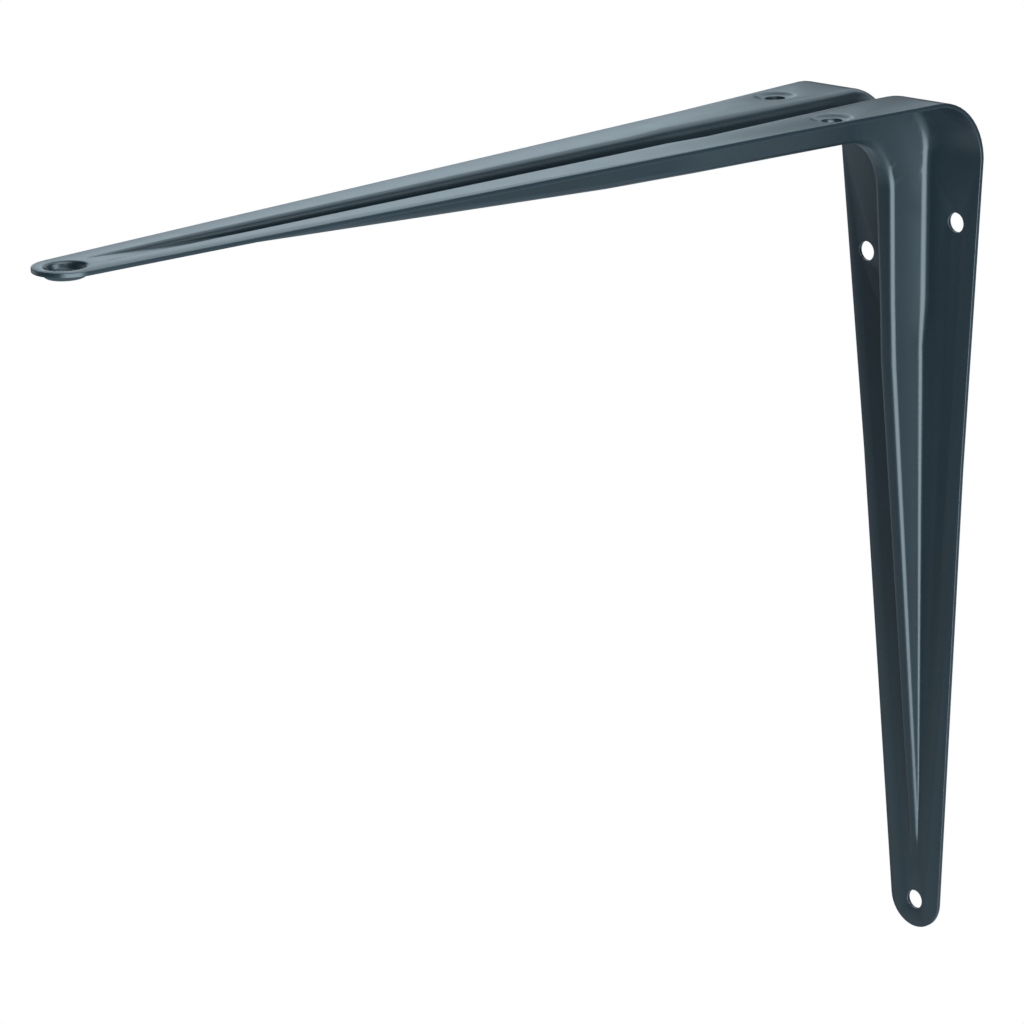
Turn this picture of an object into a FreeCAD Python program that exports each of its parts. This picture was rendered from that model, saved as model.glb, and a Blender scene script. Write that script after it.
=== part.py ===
"""Ribbed shelf bracket, pressed from one steel plate.

Two tapering arms meet in a rounded bend. A narrow rib is pressed towards the
inside of the angle along the middle of both arms and round the bend, so the
outside of the angle has an open channel there. Each arm has two staggered
screw holes near the bend and one in its rounded tip. The shelf arm's holes
sit in round dishes that are pressed the same way as the rib.

Frame, in millimetres: X runs out from the wall, Y across the bracket and Z up.
The back of the wall arm lies in the plane x = 0 and the top of the shelf arm
in the plane z = 0, so the origin is the corner that the shelf and wall make.

Both arms are drawn alike, along +X with the outer face in z = 0. The wall arm
is then turned half a turn about the line that halves the angle.
"""

import FreeCAD, Part
import math
import os

import Sketcher
from FreeCAD import Placement, Rotation, Vector

os.makedirs("parts", exist_ok=True)
doc = FreeCAD.newDocument("shelf_bracket")

# Driving sizes: millimetres, and degrees for the angles
DRIVING_SIZES = [
    ("sheet_gauge", 1.2, "thickness of the steel with its coating"),
    ("bend_radius", 18.0, "outer radius of the bend between the arms"),
    ("bend_width", 53.0, "width of the plate round the bend"),
    ("shelf_arm_length", 300.0, "wall face to the tip of the shelf arm"),
    ("shelf_knee_reach", 72.0, "wall face to where the taper eases"),
    ("shelf_knee_width", 43.2, "width of the shelf arm there"),
    ("shelf_tip_radius", 8.8, "round end of the shelf arm"),
    ("wall_arm_length", 250.0, "shelf face to the tip of the wall arm"),
    ("wall_knee_reach", 108.0, "shelf face to where the taper eases"),
    ("wall_knee_width", 37.4, "width of the wall arm there"),
    ("wall_tip_radius", 9.2, "round end of the wall arm"),
    ("bend_flat_width", 2.8, "flat strip on the rib's crest round the bend"),
    ("shelf_flat_width", 6.0, "the same strip along the shelf arm"),
    ("wall_flat_width", 1.6, "the same strip along the wall arm"),
    ("rib_crest_radius", 2.2, "outer round along both sides of the crest"),
    ("rib_wall_angle", 84.0, "slope of the rib's sides from the plate"),
    ("bend_wall_angle", 75.0, "the same slope near the bend"),
    ("rib_foot_radius", 1.8, "inner round where the rib meets the plate"),
    ("bend_foot_radius", 2.6, "the same round near the bend"),
    ("bend_rib_height", 11.3, "rib above the plate where its crest starts to turn"),
    ("crest_bend_radius", 15.5, "radius on which the crest turns the corner"),
    ("shelf_run_out_width", 5.0, "flat strip on the crest where the shelf arm's rib runs out"),
    ("wall_run_out_width", 0.8, "the same strip where the wall arm's rib runs out"),
    ("run_out_crest_radius", 1.35, "outer round of the crest where a rib runs out"),
    ("run_out_foot_radius", 0.4, "inner round at the rib's foot there"),
    ("shelf_rib_height", 8.4, "rib above the plate where it starts to sink"),
    ("shelf_rib_sinks", 121.0, "wall face to where the rib starts to sink"),
    ("shelf_rib_stops_short", 16.0, "end of the rib to the tip of the shelf arm"),
    ("shelf_foot_narrows", 88.0, "wall face to where the rib's wide base ends"),
    ("wall_rib_height", 10.5, "rib above the plate where it starts to sink"),
    ("wall_rib_sinks", 78.0, "shelf face to where the rib starts to sink"),
    ("wall_rib_stops_short", 20.0, "end of the rib to the tip of the wall arm"),
    ("wall_foot_narrows", 60.0, "shelf face to where the rib's wide base ends"),
    ("foot_blend_length", 14.0, "length over which the rib's base narrows"),
    ("screw_hole_diameter", 5.6, "all six screw holes"),
    ("first_hole_row", 37.0, "bend hole nearer the corner, from the corner"),
    ("second_hole_row", 50.0, "bend hole further from the corner"),
    ("hole_offset", 17.0, "bend holes, from the centre line"),
    ("shelf_tip_setback", 7.9, "tip hole from the end of the shelf arm"),
    ("wall_tip_setback", 8.4, "tip hole from the end of the wall arm"),
    ("tip_dish_depth", 1.6, "dish round the hole in the shelf arm's tip"),
    ("tip_dish_floor", 8.2, "diameter of that dish's flat floor"),
    ("tip_dish_slope", 60.0, "steepest slope of its wall"),
    ("tip_dish_radius", 1.4, "outer rounds at its floor and rim"),
    ("bend_dish_depth", 0.7, "dishes round the shelf arm's bend holes"),
    ("bend_dish_floor", 7.4, "diameter of those dishes' flat floors"),
    ("bend_dish_slope", 24.0, "steepest slope of their walls"),
    ("bend_dish_radius", 3.0, "outer rounds at their floors and rims"),
]

sheet = doc.addObject("Spreadsheet::Sheet", "Sizes")
for row, (alias, value, meaning) in enumerate(DRIVING_SIZES, start=1):
    sheet.set(f"A{row}", meaning)
    sheet.set(f"B{row}", str(value))
    sheet.setAlias(f"B{row}", alias)
doc.recompute()

# How far a cutter or an outline reaches past the plate
CLEAR = 30.0
# The plate runs this far past an arm's tip before the outline trims it
OVERRUN = 5.0
# Where the rib sinks into the plate: places of the sections as shares of the way
SINKING = (0.25, 0.5, 0.7, 0.84, 0.94)
# Steps between the sections where the plate bends, and where only the crest turns
BEND_STEPS = 6
SIDE_STEPS = 3
# A plate ring of this width joins a dish to the plate
DISH_SEAT = 0.4

# Turns what is drawn for the shelf arm into the wall arm's place
HALF_TURN = Placement(Vector(0, 0, 0), Rotation(Vector(1, 0, -1), 180))


def size(alias):
    """Value of a driving size."""
    return float(sheet.get(alias))


def pressed_face(top, level, offset, flat, crest_radius, foot_radius, steepest):
    """Half section of one face of pressed sheet, from the middle outwards.

    The points (across, up) are the end of the flat crest, the middle and end of
    the crest's arc, and the start, middle and end of the foot's arc. The crest
    lies at top and the foot at level. Offset is this face's depth in the sheet.
    """
    height = top - level
    outer = crest_radius - offset
    inner = foot_radius + offset
    rounds = outer + inner
    slope = math.radians(steepest)
    if height < rounds:
        slope = min(slope, math.acos(1 - 0.99 * height / rounds))
    sine = math.sin(slope)
    cosine = math.cos(slope)
    straight = (height - rounds * (1 - cosine)) / sine
    crest = (flat / 2, top - outer)
    foot = (flat / 2 + rounds * sine + straight * cosine, level + inner)
    half = slope / 2
    return [
        (crest[0], crest[1] + outer),
        (crest[0] + outer * math.sin(half), crest[1] + outer * math.cos(half)),
        (crest[0] + outer * sine, crest[1] + outer * cosine),
        (foot[0] - inner * sine, foot[1] - inner * cosine),
        (foot[0] - inner * math.sin(half), foot[1] - inner * math.cos(half)),
        (foot[0], foot[1] - inner),
    ]


def pressed_profile(height, rounds, steepest, level=None):
    """Half section of sheet pressed up by height: its raised face and its hollow one.

    Rounds are the flat crest's width, the crest's radius and the foot's radius.
    Level is where the raised face leaves the plate, if that isn't the gauge.
    """
    gauge = size("sheet_gauge")
    level = gauge if level is None else level
    top = level + height
    raised = pressed_face(top, level, 0.0, *rounds, steepest)
    hollow = pressed_face(top - gauge, 0.0, gauge, *rounds, steepest)
    return raised, hollow


def flattened(profile):
    """The same points pressed flat, where the rib has run out."""
    raised, hollow = profile
    gauge = size("sheet_gauge")
    return [(across, gauge) for across, _ in raised], [(across, 0.0) for across, _ in hollow]


def face_edges(points, edge, rounded, place):
    """Edges of one face from the middle's flat end out to the plate's edge."""
    placed = [place(point) for point in points]
    join = [Part.LineSegment(placed[2], placed[3])]
    if rounded:
        first = [Part.Arc(placed[0], placed[1], placed[2])]
        last = [Part.Arc(placed[3], placed[4], placed[5])]
    else:
        first = [Part.LineSegment(placed[0], placed[2])]
        last = [Part.LineSegment(placed[3], placed[5])]
    border = [Part.LineSegment(placed[5], place(edge))]
    return [curve.toShape() for curve in first + join + last + border]


def rib_section(name, profile, place, level=None, rounded=True):
    """Closed section across the whole plate. Place puts a point (across, up) in space."""
    raised, hollow = profile
    half_width = size("bend_width") / 2
    level = size("sheet_gauge") if level is None else level

    def opposite(point):
        return place((-point[0], point[1]))

    edges = []
    for points, height in ((raised, level), (hollow, 0.0)):
        edge = (half_width, height)
        edges += face_edges(points, edge, rounded, place)
        edges += face_edges(points, edge, rounded, opposite)
        edges.append(Part.LineSegment(place(points[0]), opposite(points[0])).toShape())
    for side in (place, opposite):
        edges.append(Part.LineSegment(side((half_width, level)), side((half_width, 0.0))).toShape())
    section = doc.addObject("Part::Feature", name)
    section.Shape = Part.Wire(Part.__sortEdges__(edges))
    return section


def upright(reach):
    """Puts section points in the upright plane at a distance along the shelf arm."""
    return lambda point: Vector(reach, point[0], -point[1])


def turning_start():
    """Distance from the corner at which both the plate and the rib's crest are straight."""
    crest = size("crest_bend_radius") + size("sheet_gauge") + size("bend_rib_height")
    return max(size("bend_radius"), crest)


def rib_height(arm, reach):
    """Height of the rib above the plate along an arm."""
    start = turning_start()
    sinks = size(f"{arm}_rib_sinks")
    top = size("bend_rib_height")
    full = size(f"{arm}_rib_height")
    end = size(f"{arm}_arm_length") - size(f"{arm}_rib_stops_short")
    if reach <= sinks:
        return top + (full - top) * (reach - start) / (sinks - start)
    return full * (end - reach) / (end - sinks)


def arm_sections(arm):
    """Sections of the ribbed plate along one arm, from the bend to past the tip."""
    sinks = size(f"{arm}_rib_sinks")
    narrows = size(f"{arm}_foot_narrows")
    end = size(f"{arm}_arm_length") - size(f"{arm}_rib_stops_short")
    crest = size("rib_crest_radius")
    bend_rounds = (size("bend_flat_width"), crest, size("bend_foot_radius"))
    wide_foot = (size(f"{arm}_flat_width"), crest, size("bend_foot_radius"))
    narrow_foot = (size(f"{arm}_flat_width"), crest, size("rib_foot_radius"))
    thin = (
        size(f"{arm}_run_out_width"),
        size("run_out_crest_radius"),
        size("run_out_foot_radius"),
    )

    gentle = size("bend_wall_angle")
    steep = size("rib_wall_angle")
    stations = [
        (turning_start(), bend_rounds, gentle),
        (narrows, wide_foot, gentle),
        (narrows + size("foot_blend_length"), narrow_foot, steep),
        (sinks, narrow_foot, steep),
    ]
    for share in SINKING:
        rounds = [full + (last - full) * share for full, last in zip(narrow_foot, thin)]
        stations.append((sinks + (end - sinks) * share, rounds, steep))

    sections = []
    for number, (reach, rounds, slope) in enumerate(stations, start=1):
        profile = pressed_profile(rib_height(arm, reach), rounds, slope)
        sections.append(rib_section(f"{arm}_section_{number}", profile, upright(reach)))
    past_tip = size(f"{arm}_arm_length") + OVERRUN
    plain = flattened(profile)
    for name, reach in (("end", end), ("past_tip", past_tip)):
        sections.append(rib_section(f"{arm}_section_{name}", plain, upright(reach), rounded=False))
    return sections


def arm_plate(arm, placement):
    """Ribbed plate of one arm, as wide as the bend all along."""
    plate = doc.addObject("Part::Loft", f"{arm}_plate")
    plate.Sections = arm_sections(arm)
    plate.Solid = True
    plate.Ruled = True
    plate.Linearize = True
    plate.Placement = placement
    return plate


def corner_distance(angle, pivot, offset, radius):
    """Distance from the pivot to a rounded corner line, along a ray.

    The line runs at an offset inside both faces and turns on the radius. The
    pivot lies equally far inside both, and the ray turns from straight up
    towards the wall.
    """
    sine = math.sin(angle)
    cosine = math.cos(angle)
    centre = offset + radius
    if pivot - (pivot - offset) * math.tan(min(angle, math.pi / 2 - angle)) >= centre:
        return (pivot - offset) / max(sine, cosine)
    beyond = (pivot - centre) * (sine + cosine)
    return beyond + math.sqrt(beyond**2 - 2 * (pivot - centre) ** 2 + radius**2)


def bend_section(name, angle):
    """Section round the bend, in a plane that fans out from a line inside the corner."""
    pivot = turning_start()
    gauge = size("sheet_gauge")
    radius = size("bend_radius")
    outside = corner_distance(angle, pivot, 0.0, radius)
    inside = corner_distance(angle, pivot, gauge, radius - gauge)
    crest_offset = gauge + size("bend_rib_height")
    crest = corner_distance(angle, pivot, crest_offset, size("crest_bend_radius"))
    rounds = (size("bend_flat_width"), size("rib_crest_radius"), size("bend_foot_radius"))
    level = outside - inside
    profile = pressed_profile(inside - crest, rounds, size("bend_wall_angle"), level)

    def place(point):
        away = outside - point[1]
        across = Vector(-math.sin(angle) * away, point[0], math.cos(angle) * away)
        return Vector(pivot, 0, -pivot) + across

    return rib_section(name, profile, place, level)


def turning_plate(name, start, end, steps):
    """Ribbed plate through sections at even angles, smooth from one to the next."""
    plate = doc.addObject("Part::Loft", name)
    angles = [start + (end - start) * step / steps for step in range(steps + 1)]
    plate.Sections = [
        bend_section(f"{name}_section_{number}", angle)
        for number, angle in enumerate(angles, start=1)
    ]
    plate.Solid = True
    plate.Ruled = False
    plate.Linearize = True
    return plate


def bend_plates():
    """The plate round the bend, in three parts.

    In the middle one the plate bends as well. In the two beside it the plate is
    flat and only the rib's crest turns.
    """
    pivot = turning_start()
    first = math.atan2(pivot - size("bend_radius"), pivot)
    last = math.pi / 2 - first
    middle = turning_plate("bend_plate", first, last, BEND_STEPS)
    if first < 0.001:
        return [middle]
    shelf_side = turning_plate("shelf_turn", 0.0, first, SIDE_STEPS)
    wall_side = turning_plate("wall_turn", last, math.pi / 2, SIDE_STEPS)
    return [shelf_side, middle, wall_side]


def arm_outline(arm, placement):
    """Block with one arm's outline: two tapers and a round tip, drawn along +X."""
    body = doc.addObject("PartDesign::Body", f"{arm}_outline")
    plane = next(item for item in body.Origin.OriginFeatures if item.Role == "XY_Plane")
    sketch = body.newObject("Sketcher::SketchObject", f"{arm}_outline_sketch")
    sketch.AttachmentSupport = [(plane, "")]
    sketch.MapMode = "FlatFace"

    bend = size("bend_radius")
    half_bend = size("bend_width") / 2
    knee = size(f"{arm}_knee_reach")
    half_knee = size(f"{arm}_knee_width") / 2
    radius = size(f"{arm}_tip_radius")
    centre = size(f"{arm}_arm_length") - radius
    # The side from the knee touches the tip's arc at this angle from the centre line
    span = centre - knee
    touch = math.acos(radius / math.hypot(span, half_knee)) - math.atan2(half_knee, -span)
    touch = abs(touch)
    touch_point = Vector(centre + radius * math.cos(touch), radius * math.sin(touch), 0)

    def mirrored(point):
        return Vector(point.x, -point.y, 0)

    corners = [Vector(bend, half_bend, 0), Vector(knee, half_knee, 0), touch_point]
    left_taper = sketch.addGeometry(Part.LineSegment(corners[0], corners[1]))
    left_side = sketch.addGeometry(Part.LineSegment(corners[1], corners[2]))
    circle = Part.Circle(Vector(centre, 0, 0), Vector(0, 0, 1), radius)
    tip = sketch.addGeometry(Part.ArcOfCircle(circle, -touch, touch))
    right_side = sketch.addGeometry(Part.LineSegment(mirrored(corners[2]), mirrored(corners[1])))
    right_taper = sketch.addGeometry(Part.LineSegment(mirrored(corners[1]), mirrored(corners[0])))
    base = sketch.addGeometry(Part.LineSegment(mirrored(corners[0]), corners[0]))

    def constrain(*rule):
        return sketch.addConstraint(Sketcher.Constraint(*rule))

    constrain("Coincident", left_taper, 2, left_side, 1)
    constrain("Tangent", left_side, 2, tip, 2)
    constrain("Tangent", tip, 1, right_side, 1)
    constrain("Coincident", right_side, 2, right_taper, 1)
    constrain("Coincident", right_taper, 2, base, 1)
    constrain("Coincident", base, 2, left_taper, 1)
    constrain("Symmetric", left_taper, 1, right_taper, 2, -1)
    constrain("Symmetric", left_taper, 2, right_taper, 1, -1)
    constrain("PointOnObject", tip, 3, -1)
    driven = [
        (constrain("DistanceX", -1, 1, left_taper, 1, bend), "Sizes.bend_radius"),
        (constrain("DistanceY", base, 1, base, 2, 2 * half_bend), "Sizes.bend_width"),
        (constrain("DistanceX", -1, 1, left_taper, 2, knee), f"Sizes.{arm}_knee_reach"),
        (
            constrain("DistanceY", right_taper, 1, left_taper, 2, 2 * half_knee),
            f"Sizes.{arm}_knee_width",
        ),
        (constrain("Radius", tip, radius), f"Sizes.{arm}_tip_radius"),
        (
            constrain("DistanceX", -1, 1, tip, 3, centre),
            f"Sizes.{arm}_arm_length - Sizes.{arm}_tip_radius",
        ),
    ]
    for number, formula in driven:
        sketch.setExpression(f"Constraints[{number}]", formula)

    pad = body.newObject("PartDesign::Pad", f"{arm}_outline_pad")
    pad.Profile = sketch
    pad.Midplane = True
    pad.Length = 2 * CLEAR
    body.Placement = placement
    return body


def bend_outline():
    """Block that keeps the whole of the bend."""
    block = doc.addObject("Part::Box", "bend_outline")
    block.setExpression("Length", "Sizes.bend_radius")
    block.setExpression("Width", "Sizes.bend_width")
    block.setExpression("Height", "Sizes.bend_radius")
    block.setExpression("Placement.Base.y", "-Sizes.bend_width / 2")
    block.setExpression("Placement.Base.z", "-Sizes.bend_radius")
    return block


def cylinder(name, radius, along, across):
    """Upright cutter through the shelf arm, placed by formulas of the driving sizes."""
    cutter = doc.addObject("Part::Cylinder", name)
    cutter.setExpression("Radius", radius)
    cutter.Height = 2 * CLEAR
    cutter.Placement.Base.z = -CLEAR
    cutter.setExpression("Placement.Base.x", along)
    cutter.setExpression("Placement.Base.y", across)
    return cutter


def wall_cylinder(name, radius, down, across):
    """Level cutter through the wall arm."""
    cutter = doc.addObject("Part::Cylinder", name)
    cutter.setExpression("Radius", radius)
    cutter.Height = 2 * CLEAR
    cutter.Placement = Placement(Vector(-CLEAR, 0, 0), Rotation(Vector(0, 1, 0), 90))
    cutter.setExpression("Placement.Base.z", f"-({down})")
    cutter.setExpression("Placement.Base.y", across)
    return cutter


def dish(name, kind, along, across):
    """Round dish pressed into the shelf arm, and the disc that it takes the place of."""
    radius = size(f"{kind}_dish_radius")
    rounds = (size(f"{kind}_dish_floor"), radius, radius - size("sheet_gauge"))
    profile = pressed_profile(size(f"{kind}_dish_depth"), rounds, size(f"{kind}_dish_slope"))
    raised, hollow = profile
    gauge = size("sheet_gauge")
    seat = max(raised[5][0], hollow[5][0]) + DISH_SEAT

    def place(point):
        return Vector(point[0], 0, -point[1])

    edges = face_edges(raised, (seat, gauge), True, place)
    edges += face_edges(hollow, (seat, 0.0), True, place)
    middle = [(0.0, raised[0][1]), (0.0, hollow[0][1])]
    for start, end in (
        (middle[0], raised[0]),
        (middle[1], hollow[0]),
        (middle[0], middle[1]),
        ((seat, gauge), (seat, 0.0)),
    ):
        edges.append(Part.LineSegment(place(start), place(end)).toShape())
    section = doc.addObject("Part::Feature", f"{name}_section")
    section.Shape = Part.Wire(Part.__sortEdges__(edges))
    pressed = doc.addObject("Part::Revolution", name)
    pressed.Source = section
    pressed.Axis = Vector(0, 0, 1)
    pressed.Angle = 360
    pressed.Solid = True
    pressed.setExpression("Placement.Base.x", along)
    pressed.setExpression("Placement.Base.y", across)
    disc = cylinder(f"{name}_disc", str(seat), along, across)
    return pressed, disc


def combined(kind, name, **links):
    """Boolean of other objects, with merged faces."""
    result = doc.addObject(kind, name)
    for key, value in links.items():
        setattr(result, key, value)
    result.Refine = True
    return result


# The ribbed plate: two arms and the bend between them
STILL = Placement()
ribbed_plate = combined(
    "Part::MultiFuse",
    "ribbed_plate",
    Shapes=[arm_plate("shelf", STILL), *bend_plates(), arm_plate("wall", HALF_TURN)],
)

# The dishes in the shelf arm
SHELF_TIP = "Sizes.shelf_arm_length - Sizes.shelf_tip_setback"
WALL_TIP = "Sizes.wall_arm_length - Sizes.wall_tip_setback"
DISHES = [
    ("tip_dish", "tip", SHELF_TIP, "0"),
    ("near_dish", "bend", "Sizes.second_hole_row", "Sizes.hole_offset"),
    ("far_dish", "bend", "Sizes.first_hole_row", "-Sizes.hole_offset"),
]
pressed_dishes = []
dish_discs = []
for name, kind, along, across in DISHES:
    pressed, disc = dish(name, kind, along, across)
    pressed_dishes.append(pressed)
    dish_discs.append(disc)
discs = combined("Part::MultiFuse", "dish_discs", Shapes=dish_discs)
opened_plate = combined("Part::Cut", "opened_plate", Base=ribbed_plate, Tool=discs)
dished_plate = combined("Part::MultiFuse", "dished_plate", Shapes=[opened_plate] + pressed_dishes)

# The outline of the blank
outline = combined(
    "Part::MultiFuse",
    "blank_outline",
    Shapes=[arm_outline("shelf", STILL), bend_outline(), arm_outline("wall", HALF_TURN)],
)
trimmed_plate = combined("Part::Common", "trimmed_plate", Base=dished_plate, Tool=outline)

# The six screw holes
HOLE_RADIUS = "Sizes.screw_hole_diameter / 2"
screw_holes = combined(
    "Part::MultiFuse",
    "screw_holes",
    Shapes=[
        cylinder("shelf_far_hole", HOLE_RADIUS, "Sizes.first_hole_row", "-Sizes.hole_offset"),
        cylinder("shelf_near_hole", HOLE_RADIUS, "Sizes.second_hole_row", "Sizes.hole_offset"),
        cylinder("shelf_tip_hole", HOLE_RADIUS, SHELF_TIP, "0"),
        wall_cylinder("wall_near_hole", HOLE_RADIUS, "Sizes.first_hole_row", "Sizes.hole_offset"),
        wall_cylinder("wall_far_hole", HOLE_RADIUS, "Sizes.second_hole_row", "-Sizes.hole_offset"),
        wall_cylinder("wall_tip_hole", HOLE_RADIUS, WALL_TIP, "0"),
    ],
)
bracket = combined("Part::Cut", "bracket", Base=trimmed_plate, Tool=screw_holes)
bracket.Label = "bracket"

doc.recompute()

# Every object has to be sound before anything is written
for item in doc.Objects:
    if {"Invalid", "Error"} & set(item.State):
        raise RuntimeError(f"{item.Name} failed: {item.State}")
NODES = [bracket]
for node in NODES:
    shape = node.Shape
    if shape.isNull() or not shape.isValid() or len(shape.Solids) != 1:
        raise RuntimeError(f"{node.Label} is not one sound solid")
    shape.exportStep(f"parts/{node.Label}.step")
    box = shape.BoundBox
    print(node.Label, "box", [round(v, 3) for v in (box.XMin, box.XMax, box.YMin, box.YMax, box.ZMin, box.ZMax)])
    print(node.Label, "volume", round(shape.Volume, 1), "faces", len(shape.Faces))
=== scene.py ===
# %% [markdown]
# # A pressed steel shelf bracket
#
# This bracket is one piece of sheet steel. A press stamps out the blank, pushes a deep rib along its
# middle, bends it to a right angle, and then it gets a powder coat. The solid model already holds that
# shape at its real size, in metres, with the wall in the plane x = 0 and the shelf in the plane z = 0.
# So this lesson is about what the solid lacks: edges that look coated, a finish that catches the light
# the way powder does, and a small studio to see it in.

# %% Load the solid model
import math

import bpy
from mathutils import Matrix, Vector


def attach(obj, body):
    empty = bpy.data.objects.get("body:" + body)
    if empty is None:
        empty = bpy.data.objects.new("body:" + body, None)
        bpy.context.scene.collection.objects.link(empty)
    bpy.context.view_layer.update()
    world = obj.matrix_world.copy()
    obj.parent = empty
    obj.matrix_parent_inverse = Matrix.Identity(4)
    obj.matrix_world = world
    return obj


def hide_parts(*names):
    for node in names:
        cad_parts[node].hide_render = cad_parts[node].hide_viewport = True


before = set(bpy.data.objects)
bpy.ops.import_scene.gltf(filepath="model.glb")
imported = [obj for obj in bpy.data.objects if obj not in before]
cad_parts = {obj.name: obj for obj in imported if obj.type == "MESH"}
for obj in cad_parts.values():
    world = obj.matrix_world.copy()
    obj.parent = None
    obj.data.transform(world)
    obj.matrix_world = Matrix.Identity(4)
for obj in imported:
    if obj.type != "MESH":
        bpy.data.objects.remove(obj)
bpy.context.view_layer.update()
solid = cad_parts["bracket"]
MM = 0.001

# %% [markdown]
# ## The camera
#
# The camera comes first, because every later choice is judged through it. A long lens keeps the two
# arms from splaying apart. The place, the turn and the lens were found by matching the arms' edges and
# the screw holes with those of the photograph, at the solid's own size. The small roll is how the
# bracket lies in that picture.

# %% Place the camera
IMAGE_WIDTH = 1024
SENSOR_WIDTH_MM = 36.0
FAR_CLIP = 50.0
FOCAL_LENGTH_PX = 4417.2
CAMERA_PLACE = Vector((0.8902, 0.8253, 0.2302))
CAMERA_AZIMUTH = math.radians(138.26)
CAMERA_ELEVATION = math.radians(16.165)
CAMERA_ROLL = math.radians(1.836)


def point_camera(camera, place, azimuth, elevation, roll):
    """Stand the camera at a place. Azimuth 0 looks along +Y, and elevation looks down."""
    turn = Matrix.Rotation(azimuth, 4, "Z")
    tilt = Matrix.Rotation(math.radians(90) - elevation, 4, "X")
    lean = Matrix.Rotation(-roll, 4, "Z")
    camera.matrix_world = Matrix.Translation(place) @ turn @ tilt @ lean


bpy.ops.object.camera_add()
camera = bpy.context.object
camera.name = "camera"
camera.data.sensor_width = SENSOR_WIDTH_MM
camera.data.lens = FOCAL_LENGTH_PX / IMAGE_WIDTH * SENSOR_WIDTH_MM
camera.data.clip_end = FAR_CLIP
point_camera(camera, CAMERA_PLACE, CAMERA_AZIMUTH, CAMERA_ELEVATION, CAMERA_ROLL)
bpy.context.scene.camera = camera
print("lens:", round(camera.data.lens, 1), "mm")

# %% [markdown]
# ## The coated plate
#
# A stamped edge is square, but powder flows as it is baked and rounds it by a quarter of a millimetre
# or so. That thin round is what shows as a light line along a coated edge. A bevel modifier can make
# it, once the solid's loose triangles are joined up. The solid itself is left alone, so the work is
# done on a copy: its doubles are merged, and flat faces are dissolved back into single ones so that
# the bevel meets few stray edges.

# %% Copy the solid and join its triangles
MERGE_DISTANCE = 0.001 * MM
FLAT_ANGLE = math.radians(0.05)


def only(piece):
    """Select one object alone and make it active."""
    bpy.ops.object.select_all(action="DESELECT")
    piece.select_set(True)
    bpy.context.view_layer.objects.active = piece


only(solid)
bpy.ops.object.duplicate()
plate = bpy.context.object
plate.name = "coated_plate"
plate.data.name = "coated_plate"
only(plate)
bpy.ops.object.mode_set(mode="EDIT")
bpy.ops.mesh.select_all(action="SELECT")
bpy.ops.mesh.remove_doubles(threshold=MERGE_DISTANCE)
bpy.ops.mesh.dissolve_limited(angle_limit=FLAT_ANGLE)
bpy.ops.object.mode_set(mode="OBJECT")
print("plate faces:", len(plate.data.polygons))

# %% Round the coated edges
COAT_ROUND = 0.22 * MM
ROUND_SEGMENTS = 3
EDGE_ANGLE = math.radians(60)
SMOOTH_ANGLE = math.radians(40)

bevel = plate.modifiers.new("coat_round", "BEVEL")
bevel.width = COAT_ROUND
bevel.segments = ROUND_SEGMENTS
bevel.limit_method = "ANGLE"
bevel.angle_limit = EDGE_ANGLE
bevel.use_clamp_overlap = True
only(plate)
bpy.ops.object.modifier_apply(modifier=bevel.name)
bpy.ops.object.shade_smooth_by_angle(angle=SMOOTH_ANGLE)
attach(plate, "root")
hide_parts("bracket")
print("plate faces with coated edges:", len(plate.data.polygons))

# %% [markdown]
# ## The powder coat
#
# The finish is a satin polyester powder coat over steel, in a dark blue-grey. The powder is sprayed on
# dry and baked, so it levels out less than wet paint does. It leaves orange peel, soft waves about two
# millimetres across and a few thousandths high, and a finer tooth that spreads each highlight.

# %% Colour and node helpers
def linear_colour(hex_code):
    """Linear red, green, blue and alpha of an sRGB hex colour."""
    channels = [int(hex_code[i : i + 2], 16) / 255 for i in (1, 3, 5)]
    return [c / 12.92 if c <= 0.04045 else ((c + 0.055) / 1.055) ** 2.4 for c in channels] + [1.0]


def add_node(tree, kind, settings=None, **inputs):
    """Add a shader node, set its properties, and set or link its named inputs."""
    node = tree.nodes.new(kind)
    for name, value in (settings or {}).items():
        setattr(node, name, value)
    for name, value in inputs.items():
        socket = node.inputs[name.replace("_", " ")]
        if isinstance(value, bpy.types.NodeSocket):
            tree.links.new(value, socket)
        else:
            socket.default_value = value
    return node


# %% Make the powder coat
PEEL_WAVE = 2.2 * MM
PEEL_DEPTH = 0.012 * MM
PEEL_STRENGTH = 0.35
TOOTH = 0.35 * MM
TOOTH_DEPTH = 0.004 * MM
TOOTH_STRENGTH = 0.25
SHADE_PATCH = 60 * MM
DARKER_BELOW = 0.35
LIGHTER_ABOVE = 0.65
GLOSS_PATCH = 8 * MM
SMOOTHEST = 0.28
ROUGHEST = 0.34
COAT_IOR = 1.5
COAT_MIRROR = 0.78

coat = bpy.data.materials.new("satin_powder_coat")
coat.use_nodes = True
tree = coat.node_tree
shader = tree.nodes["Principled BSDF"]
place = add_node(tree, "ShaderNodeTexCoord").outputs["Object"]

patches = add_node(tree, "ShaderNodeTexNoise", Vector=place, Scale=1 / SHADE_PATCH, Detail=3.0)
shades = add_node(tree, "ShaderNodeValToRGB", Fac=patches.outputs["Fac"])
shades.color_ramp.elements[0].position = DARKER_BELOW
shades.color_ramp.elements[0].color = linear_colour("#1d272d")
shades.color_ramp.elements[1].position = LIGHTER_ABOVE
shades.color_ramp.elements[1].color = linear_colour("#1f2b31")
tree.links.new(shades.outputs["Color"], shader.inputs["Base Color"])

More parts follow.
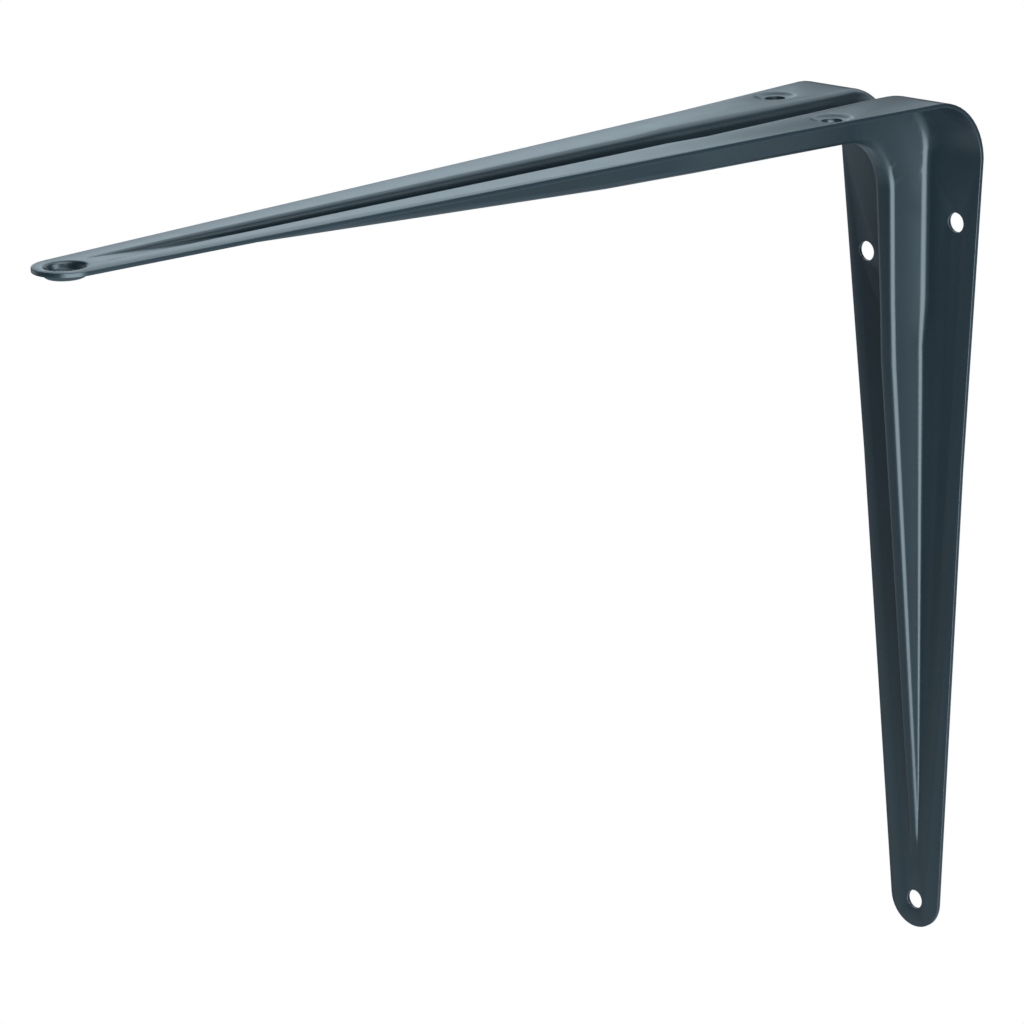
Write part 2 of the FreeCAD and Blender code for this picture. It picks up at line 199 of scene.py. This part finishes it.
gloss = add_node(tree, "ShaderNodeTexNoise", Vector=place, Scale=1 / GLOSS_PATCH, Detail=4.0)
roughness = add_node(
    tree,
    "ShaderNodeMapRange",
    Value=gloss.outputs["Fac"],
    To_Min=SMOOTHEST,
    To_Max=ROUGHEST,
)
tree.links.new(roughness.outputs["Result"], shader.inputs["Roughness"])
shader.inputs["IOR"].default_value = COAT_IOR
shader.inputs["Specular IOR Level"].default_value = COAT_MIRROR

peel = add_node(tree, "ShaderNodeTexNoise", Vector=place, Scale=1 / PEEL_WAVE, Detail=1.0)
tooth = add_node(tree, "ShaderNodeTexNoise", Vector=place, Scale=1 / TOOTH, Detail=2.0)
peel_bump = add_node(
    tree,
    "ShaderNodeBump",
    Strength=PEEL_STRENGTH,
    Distance=PEEL_DEPTH,
    Height=peel.outputs["Fac"],
)
tooth_bump = add_node(
    tree,
    "ShaderNodeBump",
    Strength=TOOTH_STRENGTH,
    Distance=TOOTH_DEPTH,
    Height=tooth.outputs["Fac"],
    Normal=peel_bump.outputs["Normal"],
)
tree.links.new(tooth_bump.outputs["Normal"], shader.inputs["Normal"])
plate.data.materials.clear()
plate.data.materials.append(coat)
solid.material_slots[0].material = coat
print("coat nodes:", len(tree.nodes))

# %% [markdown]
# ## The studio
#
# The bracket hangs in the air as if on its wall, so the floor lies well below it. A dark satin coat
# shows little but what it mirrors, and its upright faces mirror the floor, so that is a matt grey
# card, which the camera doesn't see. The plain white ground of a catalogue picture is a second sheet
# well below the card: it shines evenly, and only the camera sees it, so it neither lights the bracket
# nor shows in its coat.

# %% Lay the floor
CARD_HEIGHT = -0.75
CARD_ROUGHNESS = 0.9
CARD_MIRROR = 0.1
FLOOR_SIZE = 30.0


def flat_sheet(name, height):
    """A large level sheet."""
    bpy.ops.mesh.primitive_plane_add(size=FLOOR_SIZE, location=(0, 0, height))
    sheet = bpy.context.object
    sheet.name = name
    bpy.ops.object.transform_apply(location=True)
    return sheet


floor = flat_sheet("floor", CARD_HEIGHT)
floor.visible_camera = False
card = bpy.data.materials.new("matt_grey_card")
card.use_nodes = True
card_shader = card.node_tree.nodes["Principled BSDF"]
card_shader.inputs["Base Color"].default_value = linear_colour("#c8c8c8")
card_shader.inputs["Roughness"].default_value = CARD_ROUGHNESS
card_shader.inputs["Specular IOR Level"].default_value = CARD_MIRROR
floor.data.materials.append(card)

# %% Lay the white ground below it
GROUND_HEIGHT = -2.0

ground = flat_sheet("white_ground", GROUND_HEIGHT)
for kind in ("diffuse", "glossy", "transmission", "volume_scatter", "shadow"):
    setattr(ground, f"visible_{kind}", False)
glow = bpy.data.materials.new("even_white_light")
glow.use_nodes = True
glow_shader = glow.node_tree.nodes["Principled BSDF"]
glow_shader.inputs["Base Color"].default_value = linear_colour("#000000")
glow_shader.inputs["Specular IOR Level"].default_value = 0.0
glow_shader.inputs["Emission Color"].default_value = linear_colour("#ffffff")
glow_shader.inputs["Emission Strength"].default_value = 1.0
ground.data.materials.append(glow)

# %% [markdown]
# ## The lights
#
# Each light does one job on the coat. The wide overhead box greys the shelf arm's top, and a panel
# behind the arm's tip brightens that end and leaves the corner darker. A box nearly straight above and
# one high up on the near side reach down into the open channel. A wide box beside the camera draws the
# two bright lines down the rib, and its width sets theirs. The last ones are weak, and keep the faces
# that look away from the camera from going black. All of them are a little blue, since a coat seen at a
# shallow angle shows the light's colour and not its own.

# %% Hang the lights
# Each light faces the bracket's corner. Its place is a distance, a compass angle from +X and a height.
AIM = Vector((0.08, 0.0, -0.08))
COOL_WHITE = (0.73, 0.90, 1.0)
SKY_STRENGTH = 0.04
# Name, width, height, distance, compass angle, height above the aim, radiance
SOFTBOXES = [
    ("overhead", 3.0, 3.0, 2.6, 215, 2.2, 1.2),
    ("tip_panel", 1.75, 0.9, 3.2, 240, 0.75, 1.25),
    ("zenith", 2.0, 2.0, 0.5, 80, 2.4, 2.9),
    ("channel_box", 1.6, 1.2, 2.4, 115, 2.2, 5.0),
    ("side_box", 1.1, 1.08, 1.0, 60, -0.12, 5.2),
    ("front_fill", 1.2, 1.6, 2.2, -45, 0.6, 0.35),
    ("wall_side_fill", 1.6, 1.6, 2.6, 176, 0.1, 1.05),
    ("far_side_fill", 1.6, 1.6, 2.6, 286, 0.1, 0.8),
]


def softbox(name, width, height, distance, compass, lift, radiance):
    """A flat light of an even radiance that faces the bracket."""
    angle = math.radians(compass)
    place = AIM + Vector((distance * math.cos(angle), distance * math.sin(angle), lift))
    facing = (AIM - place).to_track_quat("-Z", "Y").to_euler()
    bpy.ops.object.light_add(type="AREA", location=place, rotation=facing)
    light = bpy.context.object
    light.name = name
    light.data.shape = "RECTANGLE"
    light.data.size = width
    light.data.size_y = height
    light.data.energy = radiance * math.pi * width * height
    light.data.color = COOL_WHITE
    light.visible_camera = False


for box in SOFTBOXES:
    softbox(*box)

world = bpy.data.worlds.new("studio")
bpy.context.scene.world = world
world.use_nodes = True
sky = world.node_tree.nodes["Background"]
sky.inputs["Color"].default_value = (*COOL_WHITE, 1.0)
sky.inputs["Strength"].default_value = SKY_STRENGTH
bpy.context.scene.view_settings.view_transform = "Standard"
